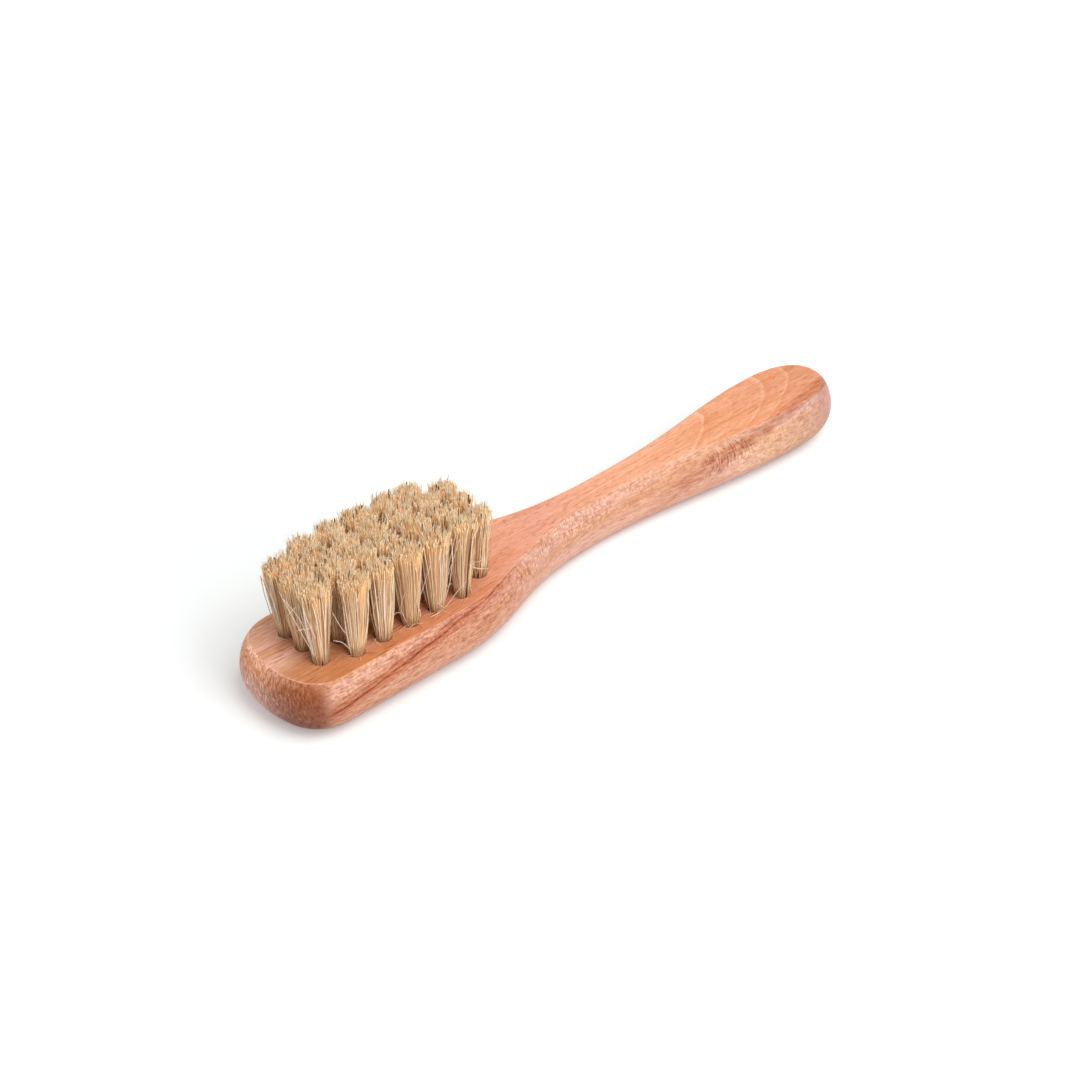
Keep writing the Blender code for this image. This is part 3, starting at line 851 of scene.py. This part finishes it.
tuftShape = {
    "seed": 40,
    "folded": 110,  # bristles in a tuft, each folded in half, so it has twice as many ends
    "height": 0.0196,
    "uneven": 0.0017,
    "tallest": 0.3,  # by this share of the unevenness, the tallest bristles stay below the height
    "shortest": 0.6,  # of the unevenness, the usual miss of a tip
    "columnTrim": (0.0003, 0.0, 0.0, 0.0, 0.0, 0.0005, 0.0019),  # by which each column is shorter
    "farTrim": 0.0009,  # by which the far row is shorter
    "footRadius": 0.00167,
    "footScatter": 0.00003,
    "spreadAlong": 0.0035,  # radius of the open end along the brush
    "spreadAcross": 0.0031,
    "flare": 1.35,  # how late the tuft opens
    "sides": 3,  # of a bristle and a split
    "levels": (0.0, 0.14, 0.38, 0.66, 0.86, 1.0),  # of a bristle's points above the face
    "bow": 0.0004,
    "tipScatter": 0.0004,
    "columnFan": (1.08, 1.1, 0.9, 1.0, 0.96, 0.94, 0.8),
    "fanEach": 0.06,
    "leanFirst": -0.0004,  # the first column leans out over the tip
    "leanEach": 0.0005,
    "leanAcross": 0.6,  # of the lean along the brush
    "clumps": 18,
    "clumpTurn": 0.4,
    "clumpPull": 0.34,
    "clumpLift": 0.00028,
    "rootThickness": 0.00024,  # the half that grew in the skin is thicker and ends blunt
    "flagThickness": 0.00019,  # the other half thins out and splits
    "endShare": 0.4,
    "foldDepth": 0.0066,
    "foldRise": 0.0003,
    "foldHalfWidth": 0.0003,
    "foldStep": 0.0002,
    "crownClear": 0.0053,  # how deep the bristle is beside the crown of the staple
    "crownHalfWidth": 0.0005,
    "neckShare": 0.75,  # of that depth, where the bundle starts to narrow
    "neckNarrow": 0.8,
    "pinch": 0.00075,
    "splits": 3,
    "splitLength": 0.0028,
    "splitSpread": 0.00042,
    "splitThickness": 0.00007,
    "splitTrim": (-0.4, 0.8),  # of the unevenness
    "splitPoints": [(0.84, 1.0), (0.92, 1.0), (1.0, 0.6)],  # rise and width
    "splitBend": (0.6, 0.3),  # where the middle point is along a split, and its share of the spread
    "splitTone": 0.15,
    "palestTone": 0.95,
    "softShare": 0.4,  # how far the normals follow the tuft's own shape and not each bristle's
    "softTips": 0.5,
    "softFrom": 0.7,
    "softOut": 1.6,
    "softUp": 1.5,
    # shorter strands, thicker than a bristle, that fill the inside of the tuft
    "inner": 150,
    "innerSides": 6,
    "innerShorter": 0.0009,
    "innerUneven": 0.0004,
    "innerRadius": 0.00012,
    "innerGrowth": 0.00008,  # what the spread adds to the radius at the top
    "innerReach": 0.9,
    "innerFoot": 0.84,
    "innerDepth": 0.001,  # below the face
    "innerTop": 0.94,  # the rise of their tips
    # and the level and width of their points
    "innerPoints": [(0.0, 1), (0.25, 1), (0.5, 1), (0.75, 1), (0.95, 1), (0.98, 0.85), (1.0, 0.3)],
    # their dark tones are partly painted shade deep inside the tuft
    "innerTones": (0.0, 0.2),
    "darkFrom": 0.972,  # the brown and black hairs, by their tone, are a little thicker and longer
    "darkWidth": 1.25,
    "darkLength": 0.0006,
}
# where the sides and ends of a hair lie in its strip of the texture map
stripShape = {"half": 0.35, "cap": 0.01}


# Many hairs as tubes in one mesh. Each hair is its points, radii, tone, rises and number of sides. Where an
# axis is given, the normals are softened: they turn out from it and, near the tips, up.
def makeHairs(name, hairs, axis=None):
    points, faces, tones, rises, maps, normals = [], [], [], [], [], []
    for number, (line, radii, tone, heights, sides) in enumerate(hairs):
        first, last = len(points), len(points) + (len(line) - 1) * sides
        across = Vector((line[0].y - line[-1].y, line[-1].x - line[0].x, 0))
        across = across.normalized() if across.length > 1e-6 else Vector((0, 1, 0))
        for i, point in enumerate(line):
            ahead = (line[min(i + 1, len(line) - 1)] - line[max(i - 1, 0)]).normalized()
            u = (across - ahead * across.dot(ahead)).normalized()
            v = ahead.cross(u)
            for side in range(sides):
                angle = math.tau * side / sides
                outward = u * math.cos(angle) + v * math.sin(angle)
                points.append(point + outward * radii[i])
                normals.append(softNormal(outward, point, heights[i], axis, tuftForm) if axis else outward)
        tones += [tone] * len(line) * sides
        rises += [height for height in heights for _ in range(sides)]
        strip, half = (number + 0.5) / len(hairs), stripShape["half"] / len(hairs)
        left, right = strip - half, strip + half
        for i in range(len(line) - 1):
            low, high = i / (len(line) - 1), (i + 1) / (len(line) - 1)
            for side in range(sides):
                a, b = first + i * sides + side, first + i * sides + (side + 1) % sides
                faces.append((a, b, b + sides, a + sides))
                maps += [left, low, right, low, right, high, left, high]
        faces.append(tuple(first + side for side in range(sides - 1, -1, -1)))
        faces.append(tuple(last + side for side in range(sides)))
        for end in (0.0, 1.0):
            for side in range(sides):
                inset = stripShape["cap"] * (1 - 2 * end) if side == 1 else 0.0
                maps += [left if side % 2 else right, end + inset]
    mesh = bpy.data.meshes.new(name)
    mesh.from_pydata(points, [], faces)
    mesh.shade_smooth()
    mesh.normals_split_custom_set_from_vertices(normals)
    mesh.attributes.new("tone", "FLOAT", "POINT").data.foreach_set("value", tones)
    mesh.attributes.new("rise", "FLOAT", "POINT").data.foreach_set("value", rises)
    mesh.uv_layers.new(name="OFBake").data.foreach_set("uv", maps)
    mesh.materials.append(bristleMaterial)
    piece = bpy.data.objects.new(name, mesh)
    bpy.context.scene.collection.objects.link(piece)
    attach(piece, "root")
    return piece


def softNormal(outward, point, rise, axis, shape):
    upward = max(0.0, (rise - shape.softFrom) / (1 - shape.softFrom))
    away = Vector((point.x - axis.x, point.y - axis.y, 0)) / shape.spreadAlong
    soft = (away * (shape.softOut - upward) + Vector((0, 0, shape.softUp * upward))).normalized()
    share = shape.softShare + (shape.softTips - shape.softShare) * upward
    return (outward * (1 - share) + soft * share).normalized()


# one of a number of even places in a round bundle
def roundPlace(k, count, turn=0.0):
    reach, angle = math.sqrt((k + 0.5) / count), k * math.pi * (3 - math.sqrt(5)) + turn
    return Vector((reach * math.cos(angle), reach * math.sin(angle)))


# even places in half of a round bundle, on one side of its staple
def halfPlaces(count, side, spare=8):
    whole = [roundPlace(k, 2 * count + spare) for k in range(2 * count + spare)]
    half = [place for place in whole if place.x * side >= 0][:count]
    most = max(place.length for place in half)
    return [place / most for place in half]


# one half of a bristle, from the mouth of the hole to its tip, about the middle of the tuft
def hairHalf(shape, tuft, unit, draw):
    miss = Vector((draw.uniform(-1, 1), draw.uniform(-1, 1))) * shape.footScatter
    foot = unit * shape.footRadius + miss
    pull, lift = min(tuft.clumps, key=lambda clump: (clump[0] - unit).length)
    aim = unit.lerp(pull, shape.clumpPull)
    spread = Vector((aim.x * shape.spreadAlong, aim.y * shape.spreadAcross)) * tuft.fan
    tip = spread + tuft.lean + Vector((draw.gauss(0, shape.tipScatter), draw.gauss(0, shape.tipScatter)))
    top = tuft.height + lift - abs(draw.gauss(0, shape.uneven * shape.shortest))
    bow = Vector((draw.gauss(0, 1), draw.gauss(0, 1))) * shape.bow
    line = []
    for share in shape.levels:
        flat = foot.lerp(tip, share ** shape.flare) + bow * 4 * share * (1 - share)
        line.append(Vector((flat.x, flat.y, top * share)))
    return line


# the bend under the crown of the staple, from the foot of one half to the foot of the other
def foldPoints(shape, one, two, low):
    y = max(-shape.pinch, min(shape.pinch, (one.y + two.y) / 2))
    side = 1 if one.x > 0 else -1
    neck, crown = -shape.crownClear * shape.neckShare, -shape.crownClear
    shoulder = shape.foldStep - low
    return [Vector((one.x, one.y * shape.neckNarrow, neck)),
            Vector((side * max(abs(one.x), shape.crownHalfWidth), y, crown)),
            Vector((side * shape.foldHalfWidth, y, shoulder)),
            Vector((0, y, -low)),
            Vector((-side * shape.foldHalfWidth, y, shoulder)),
            Vector((-side * max(abs(two.x), shape.crownHalfWidth), y, crown)),
            Vector((two.x, two.y * shape.neckNarrow, neck))]


# one whole bristle, and the splits of its thin end
def foldedHair(shape, tuft, root, flag, draw):
    if draw.random() < 0.5:
        root, flag = flag, root
    one, two = hairHalf(shape, tuft, root, draw), hairHalf(shape, tuft, flag, draw)
    fold = foldPoints(shape, one[0], two[0], shape.foldDepth - draw.uniform(-1, 1) * shape.foldRise)
    line = [tuft.base + point for point in one[::-1] + fold + two]
    rises = [max(0.0, (point.z - faceHeight) / shape.height) for point in line]
    rises[0] = rises[-1] = 1.0
    rootPoints = len(one) + len(fold) // 2
    radii = [shape.rootThickness / 2] * rootPoints
    radii += [shape.flagThickness / 2 * (1 - (1 - shape.endShare) * rise ** 2) for rise in rises[rootPoints:]]
    tone = draw.random()
    dark = tone >= shape.darkFrom
    if dark:
        radii = [radius * shape.darkWidth for radius in radii]
        line[0].z += shape.darkLength
        line[-1].z += shape.darkLength
    hairs = [(line, radii, tone, rises, shape.sides)]
    tip, below = two[-1], two[-2]
    start = tip.lerp(below, min(1.0, shape.splitLength / (tip - below).length))
    splitTone = tone if dark else min(shape.palestTone, tone + shape.splitTone)
    along, spread = shape.splitBend
    for _ in range(shape.splits):
        away = Vector((draw.gauss(0, 1), draw.gauss(0, 1), 0)) * shape.splitSpread
        reach = Vector((0, 0, draw.uniform(*shape.splitTrim) * shape.uneven))
        split = [start, start.lerp(tip, along) + away * spread, tip + away + reach]
        hairs.append(([tuft.base + point for point in split],
                      [shape.splitThickness / 2 * width for _, width in shape.splitPoints],
                      splitTone, [rise for rise, _ in shape.splitPoints], shape.sides))
    return hairs


def innerStrand(shape, tuft, unit, draw):
    top = tuft.height - shape.innerShorter + draw.gauss(0, shape.innerUneven) + shape.innerDepth
    spread = Vector((unit.x * shape.spreadAlong, unit.y * shape.spreadAcross)) * tuft.fan
    tip = spread * shape.innerReach + tuft.lean
    foot = unit * shape.footRadius * shape.innerFoot
    line, radii, rises = [], [], []
    for share, width in shape.innerPoints:
        flat = foot.lerp(tip, share ** shape.flare)
        line.append(tuft.base + Vector((flat.x, flat.y, top * share - shape.innerDepth)))
        radii.append((shape.innerRadius + shape.innerGrowth * tuft.fan * share) * width)
        rises.append(share * shape.innerTop)
    return line, radii, draw.uniform(*shape.innerTones), rises, shape.innerSides


def makeTuft(number, place, column, shape):
    draw = random.Random(shape.seed + number)
    farShare = max(0.0, place[1] / outerRow)
    trim = shape.uneven * shape.tallest + shape.columnTrim[column] + shape.farTrim * farShare
    tuft = Named(base=Vector((*place, faceHeight)), height=shape.height - trim, clumps=[],
                 fan=shape.columnFan[column] + draw.gauss(0, shape.fanEach),
                 lean=Vector((draw.gauss(0, 1), draw.gauss(0, shape.leanAcross))) * shape.leanEach)
    if column == 0:
        tuft.lean.x += shape.leanFirst
    for k in range(shape.clumps):
        turn = draw.uniform(-shape.clumpTurn, shape.clumpTurn)
        tuft.clumps.append((roundPlace(k, shape.clumps, turn), draw.gauss(0, shape.clumpLift)))
    roots, flags = halfPlaces(shape.folded, 1), halfPlaces(shape.folded, -1)
    draw.shuffle(flags)
    hairs = []
    for root, flag in zip(roots, flags):
        hairs += foldedHair(shape, tuft, root, flag, draw)
    for k in range(shape.inner):
        hairs.append(innerStrand(shape, tuft, roundPlace(k, shape.inner), draw))
    piece = makeHairs(f"bristles_{number:02d}", hairs, tuft.base)
    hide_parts(f"tuft_{number:02d}")


tuftForm = Named(**tuftShape)
places = holePlaces()
outerRow = max(y for x, y in places)
columns = sorted({round(x, 4) for x, y in places})
for number, place in enumerate(places, 1):
    makeTuft(number, place, columns.index(round(place[0], 4)), tuftForm)
print("tufts done,", tuftCount)


# Stray hairs: long ones beside the tufts or sprung out of them, and short bits about their feet

strayShape = {
    "seed": 7,
    # places in mm, set from the camera's side: the first five hang clear of the tufts
    "long": [
        [(-77.9, -4.0, 32.2), (-75.5, -6.1, 26.4), (-75.3, -8.3, 21.6)],
        [(-77.1, -2.0, 32.0), (-77.1, -5.5, 28.4), (-74.8, -9.0, 18.5)],
        [(-76.4, -8.9, 31.8), (-76.1, -9.1, 29.3), (-74.4, -9.4, 23.0)],
        [(-78.2, -6.0, 29.0), (-76.8, -6.2, 29.9), (-76.5, -6.5, 30.3)],
        [(-78.3, -8.6, 26.6), (-77.0, -8.7, 26.4), (-75.8, -8.8, 25.9), (-74.9, -8.9, 25.8)],
        [(-69.0, -8.0, 25.9), (-67.9, -8.5, 22.4), (-66.5, -9.0, 19.1)],
        [(-69.7, -8.5, 19.3), (-68.0, -9.2, 18.3), (-66.7, -10.0, 16.2)],
        [(-45.7, -11.2, 29.3), (-47.6, -10.9, 24.5), (-49.5, -10.6, 19.4)],
        [(-39.9, -11.4, 32.4), (-41.2, -11.1, 26.8), (-42.8, -10.8, 20.4)],
        [(-38.3, -11.4, 32.0), (-40.2, -11.0, 26.3), (-42.3, -10.6, 20.6)],
        [(-35.2, -11.0, 32.6), (-35.4, -10.8, 26.0), (-35.9, -10.6, 19.6)],
        [(-36.5, -10.6, 22.3), (-34.0, -9.6, 19.6), (-31.3, -8.6, 17.2), (-28.4, -7.6, 15.1)],
        [(-25.3, -5.6, 28.0), (-26.4, -6.2, 23.5), (-28.3, -6.9, 19.5), (-30.3, -7.6, 18.2),
         (-33.1, -8.2, 19.7)],
        [(-27.9, -6.0, 26.2), (-27.6, -6.5, 24.0), (-27.8, -7.1, 22.6), (-29.1, -7.6, 19.1)],
        [(-45.1, -11.2, 17.6), (-44.2, -11.1, 16.0), (-42.6, -10.9, 14.7), (-39.4, -10.7, 16.7),
         (-36.6, -10.6, 18.0)],
        [(-47.2, -11.4, 14.7), (-45.1, -11.3, 14.5), (-43.2, -11.2, 14.6)],
        [(-50.4, -11.0, 20.7), (-49.6, -11.0, 17.6), (-49.4, -11.0, 15.6)],
        [(-55.9, -10.0, 18.7), (-54.4, -9.5, 18.6), (-53.2, -9.0, 17.7), (-52.0, -8.5, 16.3)],
        [(-40.5, -8.5, 17.2), (-39.4, -8.2, 17.0), (-38.4, -8.0, 16.8)],
        [(-34.9, -10.8, 23.7), (-35.2, -10.7, 21.7), (-35.6, -10.6, 20.6)],
    ],
    "longSteps": 5,
    "thickness": (0.00013, 0.0002),
    "tones": (0.75, 0.96),
    "endNarrow": 0.5,  # how much thinner every stray hair is at its ends
    "sides": 3,
    "rise": 0.5,  # of every point, in the bristle material
    "sprung": 16,  # more of them, all round the field
    "sprungFrom": (0.0016, 0.0002),  # from the middle of the tuft, and above the face
    "sprungReach": (0.0028, 0.0052),
    "sprungRise": (0.45, 0.9),  # of the height of the tufts
    "sprungBow": 0.0012,
    "sprungKnee": (0.35, 0.5),  # where its middle lies, as shares of its reach and of its rise
    "sprungThickness": (0.0001, 0.00015),
    "sprungTones": (0.6, 0.95),
    "bits": 170,
    "bitSteps": 4,
    "bitAway": 0.0022,  # from the middle of the nearest tuft
    "bitLength": (0.0015, 0.0045),
    "bitBow": 0.6,
    "bitRest": 0.00008,
    "bitLift": (0.00008, 0.0008),
    "bitThickness": (0.00009, 0.00013),
    "bitTones": (0.1, 0.9),
    "darkEvery": 9,  # one bit in so many is dark
    "darkTone": 0.977,
}


# a smooth line through a few places
def bend(knots, steps):
    line = []
    for i in range(len(knots) - 1):
        before, after = knots[max(i - 1, 0)], knots[min(i + 2, len(knots) - 1)]
        a, b = knots[i], knots[i + 1]
        for step in range(steps):
            t = step / steps
            line.append(0.5 * (2 * a + (b - before) * t + (2 * before - 5 * a + 4 * b - after) * t * t
                               + (3 * a - before - 3 * b + after) * t ** 3))
    return line + [knots[-1]]


# the middle and the two ends of a hair that has sprung out of the tuft at a place
def sprungKnots(shape, place, draw):
    angle = draw.uniform(0, math.tau)
    out = Vector((math.cos(angle), math.sin(angle), 0))
    away, above = shape.sprungFrom
    start = Vector((*place, faceHeight + above)) + out * away
    reach = draw.uniform(*shape.sprungReach)
    rise = draw.uniform(*shape.sprungRise) * tuftForm.height
    side = Vector((-out.y, out.x, 0)) * draw.gauss(0, shape.sprungBow)
    reachShare, riseShare = shape.sprungKnee
    knee = start + out * reach * reachShare + side + Vector((0, 0, rise * riseShare))
    return [start, knee, start + out * reach + Vector((0, 0, rise))]


# the middle and the two ends of a short bit that lies beside the tuft at a place
def bitKnots(shape, place, draw):
    angle, heading = draw.uniform(0, math.tau), draw.uniform(0, math.tau)
    middle = Vector((place[0] + math.cos(angle) * shape.bitAway, place[1] + math.sin(angle) * shape.bitAway,
                     faceHeight + shape.bitRest))
    run = Vector((math.cos(heading), math.sin(heading), 0)) * draw.uniform(*shape.bitLength) / 2
    side = Vector((-run.y, run.x, 0)) * draw.uniform(-shape.bitBow, shape.bitBow)
    lift = Vector((0, 0, draw.uniform(*shape.bitLift)))
    return [middle - run + lift * draw.random(), middle + side + lift, middle + run + lift * draw.random()]


def makeStrays(shape):
    draw = random.Random(shape.seed)
    hairs = []

    def addHair(knots, steps, thick, tone):
        line = bend(knots, steps)
        fromMiddle = [abs(2 * i / (len(line) - 1) - 1) for i in range(len(line))]
        radii = [thick / 2 * (1 - shape.endNarrow * share ** 3) for share in fromMiddle]
        hairs.append((line, radii, tone, [shape.rise] * len(line), shape.sides))

    for knots in shape.long:
        addHair([Vector(knot) * mm for knot in knots], shape.longSteps,
                draw.uniform(*shape.thickness), draw.uniform(*shape.tones))
    for _ in range(shape.sprung):
        addHair(sprungKnots(shape, draw.choice(places), draw), shape.longSteps,
                draw.uniform(*shape.sprungThickness), draw.uniform(*shape.sprungTones))
    for number in range(shape.bits):
        addHair(bitKnots(shape, draw.choice(places), draw), shape.bitSteps,
                draw.uniform(*shape.bitThickness),
                draw.uniform(*shape.bitTones) if number % shape.darkEvery else shape.darkTone)
    makeHairs("stray_hairs", hairs)


makeStrays(Named(**strayShape))
print("stray hairs done")


# Floor and light

stageLook = {
    "floorRadius": 2.5,
    "floorSides": 96,
    "floorDrop": 0.00002,  # below the brush, so that the two never touch
    "floorColour": (0.868, 0.9, 0.895),
    # what is added to the floor for the camera alone, near the brush and away from it, where the lamps fade
    "floorGlow": (0.19, 1.0),
    "glowReach": (0.15, 1.3),
    "skyLight": 0.5,
}
lamps = {
    "key": {"place": (0.3, -0.95, 1.88), "size": 1.7, "power": 26.3},
    "fill": {"place": (0.15, -1.8, 0.7), "size": 1.2, "power": 10.5},
}


# whether the camera sees a thing itself, or in a mirror or through glass
def seenByCamera(tree):
    path = addNode(tree, "LightPath").outputs
    bent = calc(tree, "MAXIMUM", path["Is Glossy Ray"], path["Is Transmission Ray"])
    return calc(tree, "MAXIMUM", path["Is Camera Ray"], bent)


def addFloor(look):
    floor, tree, shader = startMaterial("studio_floor")
    tree.nodes.remove(shader)
    plain = addNode(tree, "BsdfDiffuse", {"Color": asColour(look.floorColour)}).outputs[0]
    place = addNode(tree, "TexCoord").outputs["Object"]
    away = addNode(tree, "VectorMath", {0: place}, operation="LENGTH").outputs["Value"]
    strength = ease(tree, away, *look.glowReach, *look.floorGlow)
    glow = addNode(tree, "Emission", {"Strength": strength}).outputs[0]
    glowing = addNode(tree, "AddShader", {0: plain, 1: glow}).outputs[0]
    shown = addNode(tree, "MixShader", {0: seenByCamera(tree), 1: plain, 2: glowing}).outputs[0]
    tree.links.new(shown, tree.nodes["Material Output"].inputs["Surface"])
    bm = bmesh.new()
    bmesh.ops.create_circle(bm, cap_ends=True, segments=look.floorSides, radius=look.floorRadius)
    disc = addMesh("floor", bm)
    disc.location.z = -look.floorDrop
    disc.data.materials.append(floor)


def addSky(look):
    world = bpy.data.worlds.new("studio")
    world.use_nodes = True
    tree = world.node_tree
    background = tree.nodes["Background"]
    background.inputs["Color"].default_value = (1, 1, 1, 1)
    strength = ease(tree, seenByCamera(tree), 0.0, 1.0, look.skyLight, 1.0)
    tree.links.new(strength, background.inputs["Strength"])
    bpy.context.scene.world = world


def addLamp(name, lamp):
    light = bpy.data.lights.new(name, "AREA")
    light.shape = "DISK"
    light.size = lamp.size
    light.energy = lamp.power
    holder = bpy.data.objects.new(name, light)
    holder.location = lamp.place
    holder.rotation_euler = Vector(lamp.place).to_track_quat("Z", "Y").to_euler()
    bpy.context.scene.collection.objects.link(holder)


addFloor(Named(**stageLook))
addSky(Named(**stageLook))
for name, lamp in lamps.items():
    addLamp(name, Named(**lamp))
print("floor and light done")
